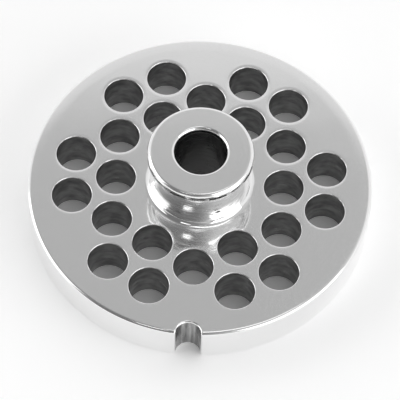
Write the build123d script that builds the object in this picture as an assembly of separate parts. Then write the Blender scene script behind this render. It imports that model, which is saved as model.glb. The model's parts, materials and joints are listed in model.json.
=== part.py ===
from build123d import *
from math import hypot, sqrt
import os

# Meat grinder plate, size 12: a steel disc drilled with meat holes, with a keying notch in its rim
# and a waisted, lipped hub round the bore. The blank is turned in one piece, then drilled and slotted.
#
# Frame, in millimetres: the ground cutting face lies on Z = 0, the bore runs up +Z out of the hub,
# and the notch opens towards -Y.

# Disc
plate_diameter = 70.0
plate_thickness = 9.0
rim_chamfer = 0.7           # rim edge on the hub's side
rim_edge_break = 0.4        # rim edge on the cutting face

# Hub
hub_height = 12.0           # above the disc
lip_diameter = 21.2
lip_thickness = 1.8
lip_round = 0.8             # its top edge
lip_edge_break = 0.35       # its lower edge
waist_diameter = 18.2       # the neck's narrowest place
waist_height = 5.6          # above the disc
neck_radius = 14.5          # the neck's curve, seen from the side
root_fillet = 1.4           # from the neck into the disc

# Bore, which the worm's stud turns in
bore_diameter = 10.0
bore_mouth_chamfer = 0.8
bore_edge_break = 0.4       # at the cutting face

# Meat holes, on a triangular grid with one row along the notch's centre line. They stay sharp on
# the cutting face, where the knife shears against their edges.
hole_diameter = 8.0
hole_pitch = 9.85
hole_mouth_break = 0.35     # on the hub's side
hub_land = 1.0              # least metal between a hole and the hub
rim_land = 2.5              # least metal between a hole and the rim

# Notch, which keeps the plate from turning in the grinder's head
notch_width = 5.0
notch_depth = 2.75
notch_corner_break = 0.4    # its upright corners at the rim
notch_mouth_break = 0.35    # its edge on the hub's side

# Worked out from the sizes above
plate_radius = plate_diameter / 2
bore_radius = bore_diameter / 2
hole_radius = hole_diameter / 2
lip_radius = lip_diameter / 2
waist_radius = waist_diameter / 2
hub_top = plate_thickness + hub_height
lip_underside = hub_top - lip_thickness
waist_z = plate_thickness + waist_height
overrun = 1.0               # how far a cutter runs past the face it leaves


def neck_at(z):
    """Radius of the neck at height z: an arc that is narrowest at the waist."""
    return waist_radius + neck_radius - sqrt(neck_radius**2 - (z - waist_z) ** 2)


def corner(outline, radius, z):
    """The outline's corner nearest to this radius and height."""
    return outline.vertices().sort_by_distance((radius, z))[0]


def turned_section():
    """Half section of the blank in the XZ plane, from the bore's wall outwards."""
    neck_foot = (neck_at(plate_thickness), plate_thickness)
    neck_top = (neck_at(lip_underside), lip_underside)
    section = make_face([
        Line((bore_radius, 0), (plate_radius, 0)),
        Line((plate_radius, 0), (plate_radius, plate_thickness)),
        Line((plate_radius, plate_thickness), neck_foot),
        ThreePointArc(neck_foot, (waist_radius, waist_z), neck_top),
        Line(neck_top, (lip_radius, lip_underside)),
        Line((lip_radius, lip_underside), (lip_radius, hub_top)),
        Line((lip_radius, hub_top), (bore_radius, hub_top)),
        Line((bore_radius, hub_top), (bore_radius, 0)),
    ])
    section = fillet(corner(section, *neck_foot), root_fillet)
    section = fillet(corner(section, lip_radius, hub_top), lip_round)
    for radius, z, size in (
        (lip_radius, lip_underside, lip_edge_break),
        (plate_radius, plate_thickness, rim_chamfer),
        (plate_radius, 0, rim_edge_break),
        (bore_radius, hub_top, bore_mouth_chamfer),
        (bore_radius, 0, bore_edge_break),
    ):
        section = chamfer(corner(section, radius, z), size)
    return Plane.XZ * section


def hole_places():
    """Every place of the triangular grid where a whole hole fits between the hub and the rim."""
    innermost = neck_at(plate_thickness) + root_fillet + hub_land + hole_radius
    outermost = plate_radius - rim_land - hole_radius
    column = hole_pitch * sqrt(3) / 2
    reach = int(plate_radius // column) + 1
    places = []
    for i in range(-reach, reach + 1):
        shift = hole_pitch / 2 if i % 2 else 0.0
        for j in range(-reach, reach + 1):
            x, y = i * column, j * hole_pitch + shift
            if innermost <= hypot(x, y) <= outermost:
                places.append((x, y))
    return places


def hole_cutter():
    """A stepped drill: the meat hole, widening at the hub's side to break its edge."""
    low, high = -overrun, plate_thickness + overrun
    half_section = make_face(Polyline(
        (0, low),
        (hole_radius, low),
        (hole_radius, plate_thickness - hole_mouth_break),
        (hole_radius + hole_mouth_break + overrun, high),
        (0, high),
        close=True,
    ))
    return revolve(Plane.XZ * half_section, Axis.Z)


def notch_outline():
    """The notch from above: a slot with a full round inner end, flared where it runs out of the rim."""
    half = notch_width / 2
    centre = plate_radius - notch_depth + half
    outside = plate_radius + notch_width
    flare_apex = plate_radius - half - notch_corner_break
    outline = Pos(0, -centre) * Circle(half)
    outline += Pos(0, -(centre + outside) / 2) * Rectangle(notch_width, outside - centre)
    outline += make_face(Polyline(
        (-half / 2, -flare_apex - half / 2),
        (half / 2, -flare_apex - half / 2),
        (outside - flare_apex, -outside),
        (flare_apex - outside, -outside),
        close=True,
    ))
    return outline


def notch_cutters():
    """The slot itself, and the bevel that breaks its edge on the hub's side."""
    outline = notch_outline()
    slot = Pos(0, 0, -overrun) * extrude(outline, plate_thickness + 2 * overrun)
    bevel_foot = plate_thickness - notch_mouth_break
    bevel = Pos(0, 0, bevel_foot) * extrude(outline, notch_mouth_break + overrun, taper=-45)
    return [slot, bevel]


drill = hole_cutter()
places = hole_places()
plate = revolve(turned_section(), Axis.Z)
plate -= [Pos(x, y) * drill for x, y in places]
plate -= notch_cutters()

os.makedirs("parts", exist_ok=True)
plate.label = "grinder_plate"
export_step(plate, "parts/grinder_plate.step")
print("meat holes:", len(places), " volume:", round(plate.volume), "mm3")
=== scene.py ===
# %% [markdown]
# # A meat grinder plate in polished steel
#
# The object is one thick steel disc. Its middle stands up as a waisted hub with a bore through it,
# twenty-four holes are drilled through the disc, and a notch in the rim keeps it from turning.
#
# All of it is cut from one blank, so it is one mesh here. It is made the way a machinist would think
# of it: sections are turned round an axis, and flat faces are filled in between them. A modelling
# package could also cut the holes with booleans and round the edges with a bevel, but on polished
# metal every stray facet shows in the reflections. Placing each ring of points by its real radius
# gives an exact surface and an exact shading normal at every point.

# %% Load the frame
import bpy
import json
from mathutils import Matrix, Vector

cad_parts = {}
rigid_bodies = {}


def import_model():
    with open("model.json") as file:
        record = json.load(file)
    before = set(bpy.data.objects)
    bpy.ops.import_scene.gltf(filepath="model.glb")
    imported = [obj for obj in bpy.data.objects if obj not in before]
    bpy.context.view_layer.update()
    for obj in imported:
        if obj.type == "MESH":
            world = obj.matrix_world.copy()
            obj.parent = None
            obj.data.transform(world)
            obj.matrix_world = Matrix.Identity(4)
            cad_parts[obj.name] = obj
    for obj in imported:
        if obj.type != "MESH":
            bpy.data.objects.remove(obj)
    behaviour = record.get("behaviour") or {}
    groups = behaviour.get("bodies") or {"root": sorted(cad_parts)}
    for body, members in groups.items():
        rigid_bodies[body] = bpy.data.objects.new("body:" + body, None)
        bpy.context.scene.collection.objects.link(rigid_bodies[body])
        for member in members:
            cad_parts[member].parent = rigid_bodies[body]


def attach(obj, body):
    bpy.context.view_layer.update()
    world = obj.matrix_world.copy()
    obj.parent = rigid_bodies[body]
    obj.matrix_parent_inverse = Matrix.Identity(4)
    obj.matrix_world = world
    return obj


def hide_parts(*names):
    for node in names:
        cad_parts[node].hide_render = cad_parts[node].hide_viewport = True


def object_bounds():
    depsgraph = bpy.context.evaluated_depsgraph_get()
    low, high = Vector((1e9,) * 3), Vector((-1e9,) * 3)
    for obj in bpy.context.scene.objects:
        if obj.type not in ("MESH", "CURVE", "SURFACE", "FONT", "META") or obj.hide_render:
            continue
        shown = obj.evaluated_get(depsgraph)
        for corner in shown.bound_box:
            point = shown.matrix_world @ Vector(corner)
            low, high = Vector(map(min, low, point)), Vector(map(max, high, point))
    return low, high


# A new Blender file may hold a cube, a lamp and a camera, and they would count in the boxes below.
for leftover in list(bpy.data.objects):
    bpy.data.objects.remove(leftover)
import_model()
frame_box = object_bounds()
print("frame, mm:", [round(1000 * (high - low), 2) for low, high in zip(*frame_box)])

# %% [markdown]
# ## Sizes
#
# The frame says how large the plate is and where it lies: its cutting face is on the floor, the bore
# runs up the Z axis, and the notch opens towards -Y. The sizes inside that box are repeated here in
# millimetres, and one factor turns them to Blender's metres at the end.

# %% Sizes of the plate
from math import acos, asin, atan2, cos, degrees, hypot, pi, radians, sin, sqrt, tan

MM = 0.001
rim_radius = frame_box[1].x / MM
hub_top = frame_box[1].z / MM
disc_top = 9.0
hole_radius = 4.0
hole_pitch = 9.85
bore_radius = 5.0
print("rim radius and hub height, mm:", round(rim_radius, 3), round(hub_top, 3))

# %% [markdown]
# ## Rows and bands
#
# Everything below is built from two things. A row is a line of points, each with the way the surface
# faces there. A band is the strip of four-sided faces between two rows. Keeping the facing with each
# point matters on polished steel: Blender would otherwise average the facing of flat faces and small
# rounds, and the reflections on the flat faces would bend near every edge.

# %% Helpers for rows and bands
points, facings, faces, finishes = [], [], [], []

# Each face carries the number of its finish. The materials are made in the same order.
BUFFED, DRILLED, GROUND, TURNED, MILLED, REAMED = range(6)


def row(places, directions):
    """Adds points with their facings and returns their numbers."""
    first = len(points)
    points.extend(places)
    facings.extend(directions)
    return list(range(first, len(points)))


def band(one, other, finish, closed=True):
    """Fills the strip between two rows of equal length."""
    count = len(one)
    for i in range(count if closed else count - 1):
        j = (i + 1) % count
        faces.append((one[i], one[j], other[j], other[i]))
        finishes.append(finish)


print("finishes:", REAMED + 1)

# %% [markdown]
# A section is what a lathe tool follows: radii and heights, with the facing in that same plane. Most
# of it is arcs. A round on an outer edge has its centre inside the metal, and a hollow such as the
# hub's neck has its centre outside, which a negative radius says.

# %% Helpers for sections
def arc(centre_radius, centre_height, radius, start, end, steps):
    """Section points (r, z, facing r, facing z) along an arc. Angles are facings: 0 out, 90 up."""
    section = []
    for i in range(steps + 1):
        turn = radians(start + (end - start) * i / steps)
        section.append((centre_radius + radius * cos(turn), centre_height + radius * sin(turn),
                        cos(turn), sin(turn)))
    return section


def oval(centre_radius, centre_height, reach, rise, start, end, steps):
    """Section points along an oval. It reaches this far sideways and rises this far."""
    section = []
    for i in range(steps + 1):
        turn = radians(start + (end - start) * i / steps)
        out, up = cos(turn) / reach, sin(turn) / rise
        length = hypot(out, up)
        section.append((centre_radius + reach * cos(turn), centre_height + rise * sin(turn),
                        out / length, up / length))
    return section


def ring(place, count, centre=(0.0, 0.0)):
    """One section point turned round an upright axis. It starts half a step round."""
    radius, height, out, up = place
    turns = [2 * pi * (i + 0.5) / count for i in range(count)]
    return row([(centre[0] + radius * cos(t), centre[1] + radius * sin(t), height) for t in turns],
               [(out * cos(t), out * sin(t), up) for t in turns])


def turned(section, count, finish, centre=(0.0, 0.0)):
    """A whole section turned into bands. Returns its first and last rings."""
    rings = [ring(place, count, centre) for place in section]
    for one, other in zip(rings, rings[1:]):
        band(one, other, finish)
    return rings[0], rings[-1]


sample = arc(1, 1, 1, 0, 90, 3)
print("a quarter round in 3 steps, r and z:", [(round(p[0], 2), round(p[1], 2)) for p in sample])

# %% [markdown]
# ## The hub
#
# The hub is turned: from the disc a hollow fillet runs into a neck that is narrowest half way up and
# flares again below a thin lip. Buffing has drawn the lip's edge out to an oval, its lower edge curls
# under, and the bore's mouth has a soft round as well.
#
# Where two arcs meet, their centres lie on one line through the meeting point. That fixes where the
# small fillets sit, so each is worked out from the neck's arc and never placed by eye. Blender's Screw
# modifier could turn the same section, but it can't carry the facings along.

# %% Turn the hub
waist_radius, waist_height = 9.1, 14.6
neck_bend = 14.5
root_fillet = 1.4
lip_radius, lip_underside = 10.7, 18.8
lip_reach, lip_rise, lip_curl, lip_fillet = 0.9, 1.2, 0.5, 0.3
mouth_reach, mouth_rise = 0.85, 1.4
bore_break = 0.4
HUB_POINTS = 180

neck_centre = waist_radius + neck_bend


def beside_neck(fillet, height):
    """Where a fillet's centre sits at this height when it touches the neck, and its facing there."""
    rise = height - waist_height
    reach = sqrt((neck_bend - fillet) ** 2 - rise**2)
    return neck_centre - reach, degrees(atan2(-rise, reach))


root_centre, root_turn = beside_neck(root_fillet, disc_top + root_fillet)
curl_centre, curl_turn = beside_neck(lip_fillet, lip_underside - lip_fillet)

outside = arc(root_centre, disc_top + root_fillet, -root_fillet, 90, root_turn, 12)
outside += arc(neck_centre, waist_height, -neck_bend, root_turn, curl_turn, 24)[1:]
outside += arc(curl_centre, lip_underside - lip_fillet, -lip_fillet, curl_turn, -90, 6)[1:]
outside += arc(lip_radius - lip_curl, lip_underside + lip_curl, lip_curl, -90, 0, 8)
outside += oval(lip_radius - lip_reach, hub_top - lip_rise, lip_reach, lip_rise, 0, 90, 14)
root_ring, lip_ring = turned(outside, HUB_POINTS, TURNED)

mouth = oval(bore_radius + mouth_reach, hub_top - mouth_rise, mouth_reach, mouth_rise, 90, 180, 14)
mouth_ring, bore_top_ring = turned(mouth, HUB_POINTS, BUFFED)
band(lip_ring, mouth_ring, BUFFED)
bore_section = arc(bore_radius + bore_break, bore_break, bore_break, 180, 270, 6)
bore_low_ring, bore_foot_ring = turned(bore_section, HUB_POINTS, REAMED)
band(bore_top_ring, bore_low_ring, REAMED)
print("hub rings:", len(outside) + len(mouth) + len(bore_section), " root meets the disc at",
      round(root_centre, 2), "mm")

# %% [markdown]
# ## The meat holes
#
# The holes lie on a triangular grid, and a hole is drilled wherever a whole one fits between the hub
# and the rim. On the hub's side the edges are softly broken, and the buffing wheel has dragged the
# face down by a hundredth of a millimetre around each, which a mirror shows as a pale halo. On the
# cutting face the edges stay crisp, with only the hair of a round that every real edge has, because
# the knife shears against them.

# %% Drill the meat holes
hole_round, hole_hair = 0.22, 0.12
hole_roll_width, hole_roll_turn = 0.6, 2.2
nearest_hole, farthest_hole = 15.0, 28.5
HOLE_POINTS = 72

column = hole_pitch * sqrt(3) / 2               # the grid below runs past the farthest hole
holes = [(i * column, (j + i % 2 / 2) * hole_pitch) for i in range(-4, 5) for j in range(-5, 5)]
holes = [h for h in holes if nearest_hole < hypot(*h) < farthest_hole]

hole_roll_drop = hole_roll_width * tan(radians(hole_roll_turn)) / 2
hole_section = arc(hole_radius + hole_round,
                   disc_top - hole_roll_drop - hole_round * cos(radians(hole_roll_turn)),
                   hole_round, 90 + hole_roll_turn, 180, 7)
hole_edge = hole_section[0][0] + hole_roll_width - hole_radius
hole_section.insert(0, (hole_radius + hole_edge, disc_top, 0.0, 1.0))
hole_foot = arc(hole_radius + hole_hair, hole_hair, hole_hair, 180, 270, 3)
hole_top_rings, hole_foot_rings = [], []
for hole in holes:
    top_ring, wall_top = turned(hole_section, HOLE_POINTS, BUFFED, hole)
    wall_foot, foot_ring = turned(hole_foot, HOLE_POINTS, DRILLED, hole)
    band(wall_top, wall_foot, DRILLED)
    hole_top_rings.append(top_ring)
    hole_foot_rings.append(foot_ring)
print("meat holes:", len(holes))

# %% [markdown]
# ## The notch and the rim
#
# The notch is milled with a round cutter whose axis stands almost on the rim. Its edge is broken by
# hand, all round. Such a soft edge is the path of a small ball that rolls in the corner between two
# surfaces, here the cutter's cylinder and the turned blank. The ball's centre is known exactly: it is
# one ball radius outside the cylinder and one inside the blank. For each place of the ball the
# round is an arc from where it touches the blank to where it touches the notch's wall.
#
# The disc's face rolls off by a few hundredths of a millimetre near the rim, as buffing leaves it.
# That is too little to see as shape, but a mirror shows it: reflections bend close to the rim.

# %% Profile of the blank near the rim
notch_radius, notch_depth = 2.5, 2.75
notch_break = 0.4                       # the rolling ball's radius
rim_round, rim_foot_round = 0.85, 0.5
roll_off_start, roll_off_turn = 32.0, 1.2

cutter_axis = -(rim_radius - notch_depth + notch_radius)
round_centre = rim_radius - rim_round
roll_off_end = round_centre + rim_round * sin(radians(roll_off_turn))
roll_off_rate = tan(radians(roll_off_turn)) / 2 / (roll_off_end - roll_off_start)


def face_height(radius):
    """Height of the disc's face, which rolls off towards the rim."""
    return disc_top - roll_off_rate * max(0.0, radius - roll_off_start) ** 2


def face_facing(x, y):
    """The way the disc's face faces at a place."""
    radius = hypot(x, y)
    slope = 2 * roll_off_rate * max(0.0, radius - roll_off_start)
    length = hypot(1.0, slope)
    return slope * x / radius / length, slope * y / radius / length, 1 / length


round_height = face_height(roll_off_end) - rim_round * cos(radians(roll_off_turn))
print("roll-off at the rim's round, mm:", round(disc_top - face_height(roll_off_end), 3))

# %% [markdown]
# The ball's path is worked out for one side of the notch, from the notch's inner end along the face,
# down over the rim's round, and at the same distances from the axis along the underside. The other
# side is its mirror image.

# %% Path of the edge round
PATH_FACE, PATH_ROUND, PATH_WALL, BALL_STEPS = 16, 7, 5, 6
ball_orbit = notch_radius + notch_break
foot_centre = rim_radius - rim_foot_round
turn_over_foot = degrees(acos((foot_centre - round_centre) / (rim_round - notch_break)))


def orbit_angle(radius):
    """Where the ball's centre, this far from the plate's axis, is on its way round the cutter."""
    return asin((ball_orbit**2 + cutter_axis**2 - radius**2) / (-2 * ball_orbit * cutter_axis))


first_turn = 90 - roll_off_turn
round_turns = [first_turn + (turn_over_foot - first_turn) * i / PATH_ROUND for i in range(PATH_ROUND)]
round_turns += [turn_over_foot * (1 - i / PATH_WALL) for i in range(PATH_WALL + 1)]
round_radii = [round_centre + (rim_round - notch_break) * cos(radians(t)) for t in round_turns]
face_end = orbit_angle(round_radii[0])
face_angles = [pi / 2 + (face_end - pi / 2) * i / PATH_FACE for i in range(PATH_FACE)]


def foot_turn(radius):
    """How far below the horizontal the rim's foot round faces, where the ball is this far out."""
    return acos(max(0.0, min(1.0, (radius - foot_centre) / (rim_foot_round - notch_break))))


def ball(angle, height, facing):
    """Ball centre at an angle round the cutter, with the blank's facing and the wall's."""
    centre = (ball_orbit * cos(angle), cutter_axis + ball_orbit * sin(angle), height)
    radius = hypot(*centre[:2])
    blank = (facing[0] * centre[0] / radius, facing[0] * centre[1] / radius, facing[1])
    return centre, blank, (-cos(angle), -sin(angle), 0.0)


upper, lower = [], []
for angle in face_angles:
    radius = hypot(ball_orbit * cos(angle), cutter_axis + ball_orbit * sin(angle))
    slope = face_facing(radius, 0.0)
    upper.append(ball(angle, face_height(radius) - notch_break, (slope[0], slope[2])))
    lower.append(ball(angle, notch_break, (0.0, -1.0)))
for turn, radius in zip(round_turns, round_radii):
    angle, up = orbit_angle(radius), radians(turn)
    upper.append(ball(angle, round_height + (rim_round - notch_break) * sin(up), (cos(up), sin(up))))
    down = foot_turn(radius)
    height = rim_foot_round - (rim_foot_round - notch_break) * sin(down)
    lower.append(ball(angle, height, (cos(down), -sin(down))))
print("places of the ball on one side:", len(upper))

# %% [markdown]
# Each place of the ball gives a short row across the edge, from the blank to the wall. Bands join
# neighbouring rows, and the wall of the notch is filled from the upper rows' ends to the lower ones'.

# %% Round the notch's edge and fill its wall
def across(place, side):
    """The row of points where the edge's round crosses from the blank to the notch's wall."""
    centre, blank, wall = place
    between = acos(sum(a * b for a, b in zip(blank, wall)))
    places, ways = [], []
    for i in range(BALL_STEPS + 1):
        share = i / BALL_STEPS
        way = [(sin((1 - share) * between) * a + sin(share * between) * b) / sin(between)
               for a, b in zip(blank, wall)]
        spot = [c + notch_break * w for c, w in zip(centre, way)]
        places.append((side * spot[0], spot[1], spot[2]))
        ways.append((side * way[0], way[1], way[2]))
    return row(places, ways)


upper_rows = [across(place, -1) for place in upper[:0:-1]] + [across(place, 1) for place in upper]
lower_rows = [across(place, -1) for place in lower[:0:-1]] + [across(place, 1) for place in lower]
for rows in (upper_rows, lower_rows):
    for one, other in zip(rows, rows[1:]):
        band(one, other, BUFFED, closed=False)
for left, right in ((upper_rows[0], lower_rows[0]), (upper_rows[-1], lower_rows[-1])):
    band(left, right, BUFFED, closed=False)
band([r[-1] for r in upper_rows], [r[-1] for r in lower_rows], MILLED, closed=False)
print("rows across the notch's edge:", len(upper_rows), "above and", len(lower_rows), "below")

# %% [markdown]
# The rim's own rows run from one side of the notch round to the other. Each starts and ends on the
# notch's edge round, at the place of the ball that has the same facing, so the surfaces share points.

# %% Turn the rim
RIM_POINTS = 240
notch_clearance = 1.2                   # from the notch's wall to the rim's first point
gap_turn = asin((notch_radius + notch_clearance) / rim_radius)
rim_turns = [-pi / 2 + gap_turn + (2 * pi - 2 * gap_turn) * i / RIM_POINTS for i in range(RIM_POINTS + 1)]


def rim_row(place, right_end, left_end):
    """A section point turned round the rim, from the notch's right side to its left."""
    radius, height, out, up = place
    middle = row([(radius * cos(t), radius * sin(t), height) for t in rim_turns],
                 [(out * cos(t), out * sin(t), up) for t in rim_turns])
    return [right_end] + middle + [left_end]


rim_rows = []
for i, turn in enumerate(round_turns):
    step = len(round_turns) - i
    place = arc(round_centre, round_height, rim_round, turn, turn, 1)[0]
    rim_rows.append(rim_row(place, upper_rows[-step][0], upper_rows[step - 1][0]))
for i in range(PATH_WALL, -1, -1):
    step = PATH_WALL - i
    radius = round_radii[PATH_ROUND + i]
    down = -degrees(foot_turn(radius))
    place = arc(foot_centre, rim_foot_round, rim_foot_round, down, down, 1)[0]
    rim_rows.append(rim_row(place, lower_rows[-1 - step][0], lower_rows[step][0]))
for one, other in zip(rim_rows, rim_rows[1:]):
    band(one, other, BUFFED, closed=False)
print("rim rows:", len(rim_rows))

# %% [markdown]
# ## The flat faces
#
# The face and the underside are filled between their outlines and the holes' rings with a
# triangulation that keeps every outline as an edge. A few rings of points near the rim let the face
# follow its roll-off. Flat triangles of any shape shade alike, so their pattern never shows.

# %% Helpers for the flat faces
from mathutils import Vector
from mathutils.geometry import delaunay_2d_cdt

SAME_PLACE = 1e-7                       # two points closer than this count as one


def in_opening(x, y, hole_edge, notch_edge):
    """Whether a place lies in a meat hole or in the notch, their edge rounds included."""
    in_hole = any(hypot(x - a, y - b) < hole_radius + hole_edge for a, b in holes)
    return in_hole or hypot(x, y - cutter_axis) < notch_radius + notch_edge


def fill(outline, openings, loose, finish, middle, hole_edge):
    """Triangles between an outline and its openings, through some loose points."""
    numbers = outline + [n for opening in openings for n in opening] + loose
    edges, start = [], 0
    for loop in [outline] + openings:
        edges += [(start + i, start + (i + 1) % len(loop)) for i in range(len(loop))]
        start += len(loop)
    flat = [Vector(points[n][:2]) for n in numbers]
    spots, _, triangles, origin, _, _ = delaunay_2d_cdt(flat, edges, [], 0, SAME_PLACE)
    kept = 0
    for triangle in triangles:
        x, y = (sum(spots[k][axis] for k in triangle) / 3 for axis in (0, 1))
        if hypot(x, y) > middle and not in_opening(x, y, hole_edge, notch_break):
            faces.append(tuple(numbers[origin[k][0]] for k in triangle))
            finishes.append(finish)
            kept += 1
    return kept


print("is the first hole open?", in_opening(*holes[0], hole_edge, notch_break))

# %% Fill the face and the underside
loose_radii = (roll_off_start, 32.6, 33.1, 33.6)
loose_gap = 0.1                         # keeps loose points off the notch's edge

face_edge = [r[0] for r in upper_rows[len(round_turns):-len(round_turns)]]
loose = []
for radius in loose_radii:
    for turn in rim_turns:
        x, y = radius * cos(turn), radius * sin(turn)
        if not in_opening(x, y, hole_edge, notch_break + loose_gap):
            loose += row([(x, y, face_height(radius))], [face_facing(x, y)])
face_count = fill(rim_rows[0] + face_edge, [root_ring] + hole_top_rings, loose, BUFFED,
                  root_centre, hole_edge)

foot_rows = PATH_WALL + 1
foot_edge = [r[0] for r in lower_rows[foot_rows:-foot_rows]]
foot_count = fill(rim_rows[-1] + foot_edge, [bore_foot_ring] + hole_foot_rings, [], GROUND,
                  bore_radius + bore_break, hole_hair)
print("triangles on the face and the underside:", face_count, foot_count)

# %% [markdown]
# ## The mesh
#
# The points are handed to Blender in one go, with the facings as custom normals. A weighted normal
# modifier could guess facings like these from the faces' areas, but here they are known exactly. Two
# tests show that the surface is one closed skin: no edge is open, and the volume is a solid plate's.
#
# The piece then takes the place of the plain model's node and rides on its one body.

# %% Make the mesh
import bmesh

plate_mesh = bpy.data.meshes.new("plate")
plate_mesh.from_pydata([[MM * c for c in p] for p in points], [], faces)
plate_mesh.polygons.foreach_set("material_index", finishes)
plate_mesh.polygons.foreach_set("use_smooth", [True] * len(faces))

draft = bmesh.new()
draft.from_mesh(plate_mesh)
bmesh.ops.recalc_face_normals(draft, faces=draft.faces)
open_edges = sum(not edge.is_manifold for edge in draft.edges)
volume = draft.calc_volume(signed=True) / MM**3
draft.to_mesh(plate_mesh)
draft.free()
plate_mesh.normals_split_custom_set_from_vertices(facings)
print("faces:", len(faces), " open edges:", open_edges, " volume, mm3:", round(volume))

plate = bpy.data.objects.new("grinder_plate_body", plate_mesh)
bpy.context.scene.collection.objects.link(plate)
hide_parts("grinder_plate")
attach(plate, "root")

# %% [markdown]
# ## Materials
#
# All of it is one stainless steel, so the materials differ in how each surface was finished.
# That difference is real detail at a few hundredths of a millimetre: a mirror with no detail at all
# looks like a drawing, and a small unevenness is what breaks up the edges of a reflection. Images of
# scratches could be wrapped on instead, but noise worked out in millimetres needs no unwrapping and
# keeps its scale on every surface. The walls of the holes and the bore also have colours painted
# darker than the steel's own, as painted shade, and the notch's wall has painted streaks of shade.
#
# Colours are written as sRGB hex values, the way a colour picker shows them, and one function turns
# them to the linear values that shaders work in.

# %% Helpers for materials
def linear(hex_colour):
    """An sRGB hex colour as the linear values that Blender's shaders take."""
    parts = [int(hex_colour[i:i + 2], 16) / 255 for i in (1, 3, 5)]
    return [p / 12.92 if p <= 0.04045 else ((p + 0.055) / 1.055) ** 2.4 for p in parts] + [1.0]


def add(tree, kind, settings, links):
    """Adds a node, sets its properties and sockets, and links sockets from other nodes' outputs.

    A socket goes by its name, or by its number where several share a name.
    """
    node = tree.nodes.new(kind)
    for name, value in settings.items():
        if isinstance(name, int) or name in node.inputs:
            node.inputs[name].default_value = value
        else:
            setattr(node, name, value)
    for socket, output in links.items():
        tree.links.new(output, node.inputs[socket])
    return node


def new_material(name):
    """An empty material and its node tree."""
    material = bpy.data.materials.new(name)
    material.use_nodes = True
    material.node_tree.nodes.clear()
    return material, material.node_tree


print("white as linear:", linear("#FFFFFF"), " mid grey:", [round(c, 3) for c in linear("#808080")])

# %% [markdown]
# A finish is described by its marks: how far apart they are along three directions, and how deep they
# are. The directions are either the blank's own, which are outwards, round and up, or plain x, y and
# z. Marks that are long one way and close together the other way are lines, and marks that are alike
# every way are a gentle waviness.
#
# Depth times two, divided by the spacing, is about the slope of the marks, and a reflection turns by
# twice that slope. Two micrometres at 0.6 mm already turn it by three quarters of a degree.

# %% Helpers for a steel finish
def in_millimetres(tree):
    """Where a point of the surface is, in millimetres."""
    place = add(tree, "ShaderNodeTexCoord", {}, {}).outputs["Object"]
    scaled = add(tree, "ShaderNodeVectorMath", {"operation": "SCALE", "Scale": 1 / MM}, {0: place})
    return scaled.outputs["Vector"]


def round_the_axis(tree, place):
    """The same place as distance from the axis, a slow walk round it, and height."""
    parts = add(tree, "ShaderNodeSeparateXYZ", {}, {"Vector": place}).outputs
    flat = add(tree, "ShaderNodeCombineXYZ", {}, {"X": parts["X"], "Y": parts["Y"]}).outputs["Vector"]
    radius = add(tree, "ShaderNodeVectorMath", {"operation": "LENGTH"}, {0: flat}).outputs["Value"]
    sideways = add(tree, "ShaderNodeMath", {"operation": "ADD"}, {0: parts["X"], 1: parts["Y"]})
    walked = add(tree, "ShaderNodeCombineXYZ", {}, {"X": radius, "Y": sideways.outputs["Value"],
                                                    "Z": parts["Z"]})
    return walked.outputs["Vector"]


def marks(tree, place, spacing, depth, normal=None, detail=2.0):
    """Bumps with this spacing in mm along each direction, and this depth in mm."""
    squeezed = add(tree, "ShaderNodeVectorMath", {"operation": "DIVIDE", 1: spacing}, {0: place})
    noise = add(tree, "ShaderNodeTexNoise", {"Scale": 1.0, "Detail": detail, "Roughness": 0.5},
                {"Vector": squeezed.outputs["Vector"]})
    links = {"Height": noise.outputs["Fac"]}
    if normal:
        links["Normal"] = normal
    bump = add(tree, "ShaderNodeBump", {"Strength": 1.0, "Distance": depth * MM}, links)
    return bump.outputs["Normal"]


def haze(tree, place, spacing, least, most, start=0.3):
    """Roughness that drifts between two values over this spacing in mm.

    A higher start leaves more of the surface at the least value: at 0.5 it is half.
    """
    squeezed = add(tree, "ShaderNodeVectorMath", {"operation": "DIVIDE", 1: spacing}, {0: place})
    noise = add(tree, "ShaderNodeTexNoise", {"Scale": 1.0, "Detail": 3.0},
                {"Vector": squeezed.outputs["Vector"]})
    node = add(tree, "ShaderNodeMapRange",
               {"From Min": start, "From Max": 0.7, "To Min": least, "To Max": most},
               {"Value": noise.outputs["Fac"]})
    return node.outputs["Result"]


def patches(tree, place, spacing, dark, light):
    """A colour that drifts between two over this spacing in mm."""
    squeezed = add(tree, "ShaderNodeVectorMath", {"operation": "DIVIDE", 1: spacing}, {0: place})
    noise = add(tree, "ShaderNodeTexNoise", {"Scale": 1.0, "Detail": 4.0},
                {"Vector": squeezed.outputs["Vector"]})
    share = add(tree, "ShaderNodeMapRange", {"From Min": 0.35, "From Max": 0.65},
                {"Value": noise.outputs["Fac"]})
    mix = add(tree, "ShaderNodeMix", {"data_type": "RGBA", 6: linear(dark), 7: linear(light)},
              {0: share.outputs["Result"]})
    return mix.outputs[2]


def steel(material, colour, roughness, normal):
    """Finishes a steel material and gives it to the plate, in the order of the finishes."""
    tree = material.node_tree
    settings, links = {"Metallic": 1.0}, {"Roughness": roughness, "Normal": normal}
    if isinstance(colour, str):
        settings["Base Color"] = linear(colour)
    else:
        links["Base Color"] = colour
    shader = add(tree, "ShaderNodeBsdfPrincipled", settings, links)
    add(tree, "ShaderNodeOutputMaterial", {}, {"Surface": shader.outputs["BSDF"]})
    plate_mesh.materials.append(material)
    print(len(plate_mesh.materials) - 1, material.name, "with", len(tree.nodes), "nodes")


print("2 micrometres at 0.6 mm turn a reflection by", round(degrees(2 * 2 * 0.002 / 0.6), 2), "degrees")


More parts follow.
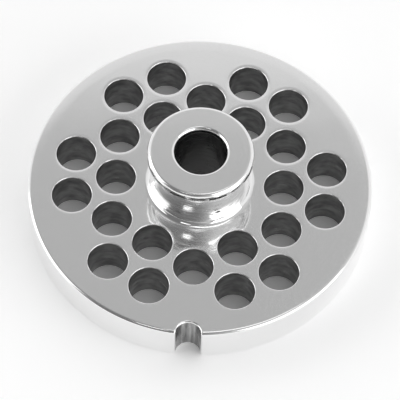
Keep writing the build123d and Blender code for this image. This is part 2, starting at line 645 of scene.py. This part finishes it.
# %% [markdown]
# ## Buffed steel
#
# The face, the hub's top and the rim are stainless steel, ground flat and then buffed with a cloth
# wheel. The eye sees a mirror with a thin haze over it. The haze comes from hairlines about a
# hundredth of a millimetre wide, so each small patch of the face is part mirror and part matt. Here
# they are three to twenty times as coarse, 0.03 to 0.2 mm, which is still finer than the eye
# resolves. The wheel also leaves the face unlevel by a few hundredths of a millimetre over 14 mm, and
# that bends a long reflection gently.
#
# Anisotropic roughness could stand for the hairlines, but it needs a direction at every point, and a
# cloth wheel leaves them in every direction. The drawn ones all run along x, because one stretched
# noise makes them.

# %% Buffed steel of the disc
material, tree = new_material("Buffed stainless steel")
place = in_millimetres(tree)
waves = marks(tree, place, (14.0, 14.0, 14.0), 0.03, detail=1.0)
wipes = marks(tree, place, (2.5, 1.2, 1.2), 0.0006, normal=waves)
hairs = haze(tree, place, (0.20, 0.03, 0.05), 0.07, 0.38, start=0.5)
steel(material, "#F4F4F4", hairs, wipes)

# %% [markdown]
# ## Drilled steel
#
# A drill's lips leave rings down the wall of each hole, as far apart as the drill sinks in a turn,
# about 0.2 mm. They are drawn 0.45 mm apart so that they show. The wall is never buffed: chips smear
# along it, and it stays dull and uneven in tone. To the eye it is a dark grey, partly because most of
# what it mirrors is the other side of the hole, and partly because its colour is painted darker than
# the steel's own, as painted shade inside the hole. The rings could be modelled, but they are only
# about a hundredth of a millimetre deep, and bumps show that with far fewer faces.

# %% Drilled steel of the holes
material, tree = new_material("Drilled steel with painted shade")
place = in_millimetres(tree)
rings = marks(tree, place, (6.0, 6.0, 0.45), 0.012)
# Painted shade: both greys are darker than the steel's own colour. The colour drifts between them at random.
smears_and_painted_shade = patches(tree, place, (2.4, 2.4, 1.2), "#828282", "#A8A8A8")
steel(material, smears_and_painted_shade, haze(tree, place, (3, 3, 1), 0.26, 0.44), rings)

# %% [markdown]
# ## Ground steel
#
# The knife turns against the underside, so it is ground flat on a surface grinder and left as ground.
# The wheel's grit of about 0.1 mm leaves straight, parallel lines. They are drawn 0.35 mm apart and
# 18 mm long, and a few micrometres deep. The eye sees a satin that smears a reflection across the
# lines and keeps it sharp along them. Anisotropic roughness would give the smear and no lines.

# %% Ground steel of the cutting face
material, tree = new_material("Ground stainless steel")
place = in_millimetres(tree)
lines = marks(tree, place, (0.35, 18.0, 1.0), 0.004)
steel(material, "#D5D5D5", haze(tree, place, (1, 30, 1), 0.18, 0.28), lines)

# %% [markdown]
# ## Turned and buffed steel
#
# The neck is turned to its curve with a round-nosed tool and then buffed by hand while it spins. The
# tool's path is gone, but the hand leaves shallow bands round the neck, 0.7 to 2 mm apart. Each band
# pulls a reflection into streaks that run round the hub, and the cloth leaves some bands brighter
# than others. So both the bumps and the haze are long round the axis and short up it. The bands could
# be part of the turned section, but then they would run round it as evenly as on a lathe.

# %% Turned steel of the hub
material, tree = new_material("Turned and buffed stainless steel")
place = in_millimetres(tree)
walk = round_the_axis(tree, place)
waves = marks(tree, walk, (2.4, 5.0, 1.6), 0.05, detail=1.0)
bands = marks(tree, walk, (0.8, 5.0, 0.7), 0.03, normal=waves)
cloth = haze(tree, walk, (0.7, 6.0, 0.7), 0.05, 0.34, start=0.45)
steel(material, "#F4F4F4", cloth, bands)

# %% [markdown]
# ## Milled steel
#
# An end mill cuts the notch in one pass. Its flutes leave upright lines down the wall, as far apart as
# it moves for each tooth, about 0.1 mm. They are drawn 0.8 mm apart so that they show. Where a flute
# rubs instead of cutting, the steel is a little darker, so the tone changes from line to line. The
# colour's lighter and darker upright streaks are partly that tone and partly painted shade and light:
# they stand for the streaks that the notch's curved wall mirrors. Bumps alone would leave the wall
# too even, so the colour changes with them.

# %% Milled steel of the notch
material, tree = new_material("Milled steel with painted streaks")
place = in_millimetres(tree)
lines = marks(tree, place, (0.8, 0.8, 14.0), 0.03)
# Partly painted shade and light: the colour's upright streaks also stand for the streaks that the curved
# wall mirrors.
rubbed_tone_and_painted_streaks = patches(tree, place, (0.9, 0.9, 9.0), "#7C7C7C", "#C4C4C4")
steel(material, rubbed_tone_and_painted_streaks, haze(tree, place, (1, 1, 4), 0.22, 0.34), lines)

# %% [markdown]
# ## Reamed steel
#
# The worm's stud turns in the bore, so the bore is drilled and then reamed. A reamer takes off a
# tenth of a millimetre and leaves a smoother wall than a drill, with faint rings. They are drawn
# 0.8 mm apart. The eye sees a dark, even wall with a soft sheen, so it is made as the drilled wall is,
# with wider rings, less haze and no patches of tone. Its grey is painted darker than the steel's own,
# as painted shade inside the bore.

# %% Reamed steel of the bore
material, tree = new_material("Reamed steel with painted shade")
place = in_millimetres(tree)
rings = marks(tree, place, (5.0, 5.0, 0.8), 0.012)
# Painted shade: the bore's grey is darker than the steel's own colour.
steel(material, "#989898", haze(tree, place, (3, 3, 1), 0.16, 0.30), rings)

# %% [markdown]
# ## Floor
#
# The plate lies on a wide sheet of matt white paper. It is one large square, because a polished rim
# mirrors the floor far out to the side, and an edge of the floor would show there as a line.
#
# The lamps are kept low so that the steel hardly burns out, and at that level paper looks grey.
# Brighter lamps would whiten it and spoil the steel. Instead, the rays that come straight from the
# camera, from a mirror or through glass find a whiter paper, and the plate's shadow on it is kept.

# %% Floor
FLOOR_REACH = 3.0                       # metres from the middle to an edge
PAPER_LIFT = 1.3                        # the paper's whiteness for those rays

corners = [(x * FLOOR_REACH, y * FLOOR_REACH, 0) for x, y in ((-1, -1), (1, -1), (1, 1), (-1, 1))]
floor_mesh = bpy.data.meshes.new("floor")
floor_mesh.from_pydata(corners, [], [(0, 1, 2, 3)])
floor = bpy.data.objects.new("floor", floor_mesh)
bpy.context.scene.collection.objects.link(floor)
material, tree = new_material("Matt white paper")
rays = add(tree, "ShaderNodeLightPath", {}, {}).outputs
seen = rays["Is Camera Ray"]
for kind in ("Is Glossy Ray", "Is Transmission Ray"):
    seen = add(tree, "ShaderNodeMath", {"operation": "MAXIMUM"}, {0: seen, 1: rays[kind]}).outputs["Value"]
colour = add(tree, "ShaderNodeMix", {"data_type": "RGBA", 6: linear("#F6F6F6"), 7: [PAPER_LIFT] * 3 + [1.0]},
             {0: seen})
shader = add(tree, "ShaderNodeBsdfDiffuse", {}, {"Color": colour.outputs[2]})
add(tree, "ShaderNodeOutputMaterial", {}, {"Surface": shader.outputs["BSDF"]})
floor_mesh.materials.append(material)
print("floor, m:", [round(c, 1) for c in floor.dimensions])

# %% [markdown]
# ## World
#
# Polished steel has almost no look of its own: it shows the room. So the room is designed as a
# mirror would show it. A white paper sweep rises behind and beside the plate, and above the plate it
# gives way to a dimmer studio ceiling. The flat face mirrors the ceiling as an even mid grey, and the
# place where the sweep starts is the pale crescent on the face's far side. In front and a little to
# the left, where the maker stands, the room is darkest, and that is the dark middle of the hub's neck.
#
# The plate mirrors the dark and the light in turn, so their edge matters most. It is a circle 66.7
# degrees round a direction in front of the plate, and it fades over two degrees.
#
# The room is worked out from the direction alone. An image of a real studio would do as well, but a
# few smooth levels are easier to tune, and each one can be told apart in the reflections.

# %% Directions and levels
world = bpy.data.worlds.new("Studio")
bpy.context.scene.world = world
world.use_nodes = True
world.node_tree.nodes.clear()
tree = world.node_tree
ways = add(tree, "ShaderNodeTexCoord", {}, {}).outputs["Generated"]


def towards(azimuth, elevation):
    """A direction from the plate. Azimuth 0 is the notch's side and 90 is +X."""
    a, e = radians(azimuth), radians(elevation)
    return Vector((sin(a) * cos(e), -cos(a) * cos(e), sin(e)))


def around(centre, inner, outer, level_inside, level_outside):
    """A level that changes smoothly between two angles from a direction."""
    near = add(tree, "ShaderNodeVectorMath", {"operation": "DOT_PRODUCT", 1: centre}, {0: ways})
    node = add(tree, "ShaderNodeMapRange",
               {"interpolation_type": "SMOOTHSTEP", "From Min": cos(radians(outer)),
                "From Max": cos(radians(inner)), "To Min": level_outside, "To Max": level_inside},
               {"Value": near.outputs["Value"]})
    return node.outputs["Result"]


print("straight up is", [round(c, 3) for c in towards(0, 90)])

# %% Ceiling and paper sweep
corner_level, ceiling_level = 0.22, 0.56        # the room's darkest corner, and the ceiling
paper_low_level, paper_top_level = 1.15, 0.98   # the sweep near the floor, and at its upper edge
right_gain = 1.35                               # the ceiling is brighter towards the right
dark_corner, sweep_middle = towards(-38, 35), towards(0, 56.5)
corner_core, corner_end = 18, 60                # degrees from the corner: darkest within, gone beyond
sweep_edge, sweep_fade = 66.7, 2.0              # degrees
paper_foot, paper_top = 25, 56                  # degrees up, where the sweep starts and stops dimming

ceiling = around(dark_corner, corner_core, corner_end, corner_level, ceiling_level)
sweep = around(sweep_middle, sweep_edge - sweep_fade / 2, sweep_edge + sweep_fade / 2, 0.0, 1.0)
parts = add(tree, "ShaderNodeSeparateXYZ", {}, {"Vector": ways}).outputs
paper = add(tree, "ShaderNodeMapRange",
            {"From Min": sin(radians(paper_foot)), "From Max": sin(radians(paper_top)),
             "To Min": paper_low_level, "To Max": paper_top_level}, {"Value": parts["Z"]})
rightwards = add(tree, "ShaderNodeMapRange", {"From Max": 0.5, "To Min": 1.0, "To Max": right_gain},
                 {"Value": parts["X"]})
lit = add(tree, "ShaderNodeMath", {"operation": "MULTIPLY"}, {0: ceiling, 1: rightwards.outputs["Result"]})
level = add(tree, "ShaderNodeMix", {"data_type": "FLOAT"},
            {"Factor": sweep, "A": lit.outputs["Value"], "B": paper.outputs["Result"]})
sky = add(tree, "ShaderNodeBackground", {}, {"Strength": level.outputs["Result"]})
add(tree, "ShaderNodeOutputWorld", {}, {"Surface": sky.outputs["Background"]})
print("world nodes:", len(tree.nodes))

# %% [markdown]
# ## Lights
#
# Two large soft panels stand low on the left and the right. They light the paper evenly, and on the
# neck they are the two bright flanks. A small square panel stands higher, left of the middle: it is
# the small bright square on the neck, and the face below mirrors it again. A long dim panel overhead
# gives the lip's round edge its light.
#
# Glowing planes would look the same in the steel, but area lamps light the scene with less noise. A
# panel's power is worked out from how bright it should look in a mirror. The same panel can then be
# made larger or smaller and its reflection keeps its brightness.

# %% Lights
def panel(name, azimuth, elevation, distance, width, height, radiance):
    """A soft panel that faces the plate, as bright as this radiance when it is seen in a mirror."""
    way = towards(azimuth, elevation)
    light = bpy.data.lights.new(name, "AREA")
    light.shape, light.size, light.size_y = "RECTANGLE", width, height
    light.energy = radiance * pi * width * height
    lamp = bpy.data.objects.new(name, light)
    lamp.location = distance * way
    lamp.rotation_euler = way.to_track_quat("Z", "Y").to_euler()
    bpy.context.scene.collection.objects.link(lamp)
    print(name, "energy, W:", round(light.energy, 2))


panel("left panel", -89, 23, 1.0, 0.84, 0.78, 1.2)
panel("right panel", 56, 21.5, 1.0, 1.06, 0.74, 1.25)
panel("small panel", -24, 49, 1.0, 0.21, 0.21, 1.4)
panel("overhead panel", 50, 81.5, 1.0, 0.62, 0.20, 1.1)

# %% [markdown]
# ## Camera
#
# The plate is small and is seen from half a metre away through a long lens, so its far side is only a
# little smaller than its near side. The camera starts straight above the plate, is tipped towards the
# notch's side by 31 degrees, and is turned by 2 degrees before and after that tip. A Track To
# constraint could aim it instead, but it keeps a camera level, and this one leans by 2 degrees.

# %% Camera
from mathutils import Matrix

lens = bpy.data.cameras.new("camera")
lens.lens, lens.sensor_width = 228.0, 36.0
lens.clip_start, lens.clip_end = 0.01, 20.0
camera = bpy.data.objects.new("camera", lens)
swing, tip, roll = 2.114, 30.838, 1.897         # degrees about Z, X and Z again
aim, distance = (0.000119, 0.001092, 0), 0.52217
turn = (Matrix.Rotation(radians(swing), 4, "Z") @ Matrix.Rotation(radians(tip), 4, "X")
        @ Matrix.Rotation(radians(roll), 4, "Z"))
camera.matrix_world = Matrix.Translation(aim) @ turn @ Matrix.Translation((0, 0, distance))
bpy.context.scene.collection.objects.link(camera)
bpy.context.scene.camera = camera
bpy.context.scene.view_settings.view_transform = "Standard"
print("camera, m:", [round(c, 3) for c in camera.matrix_world.translation])

# %% [markdown]
# ## Finish
#

# %% Finish
import json
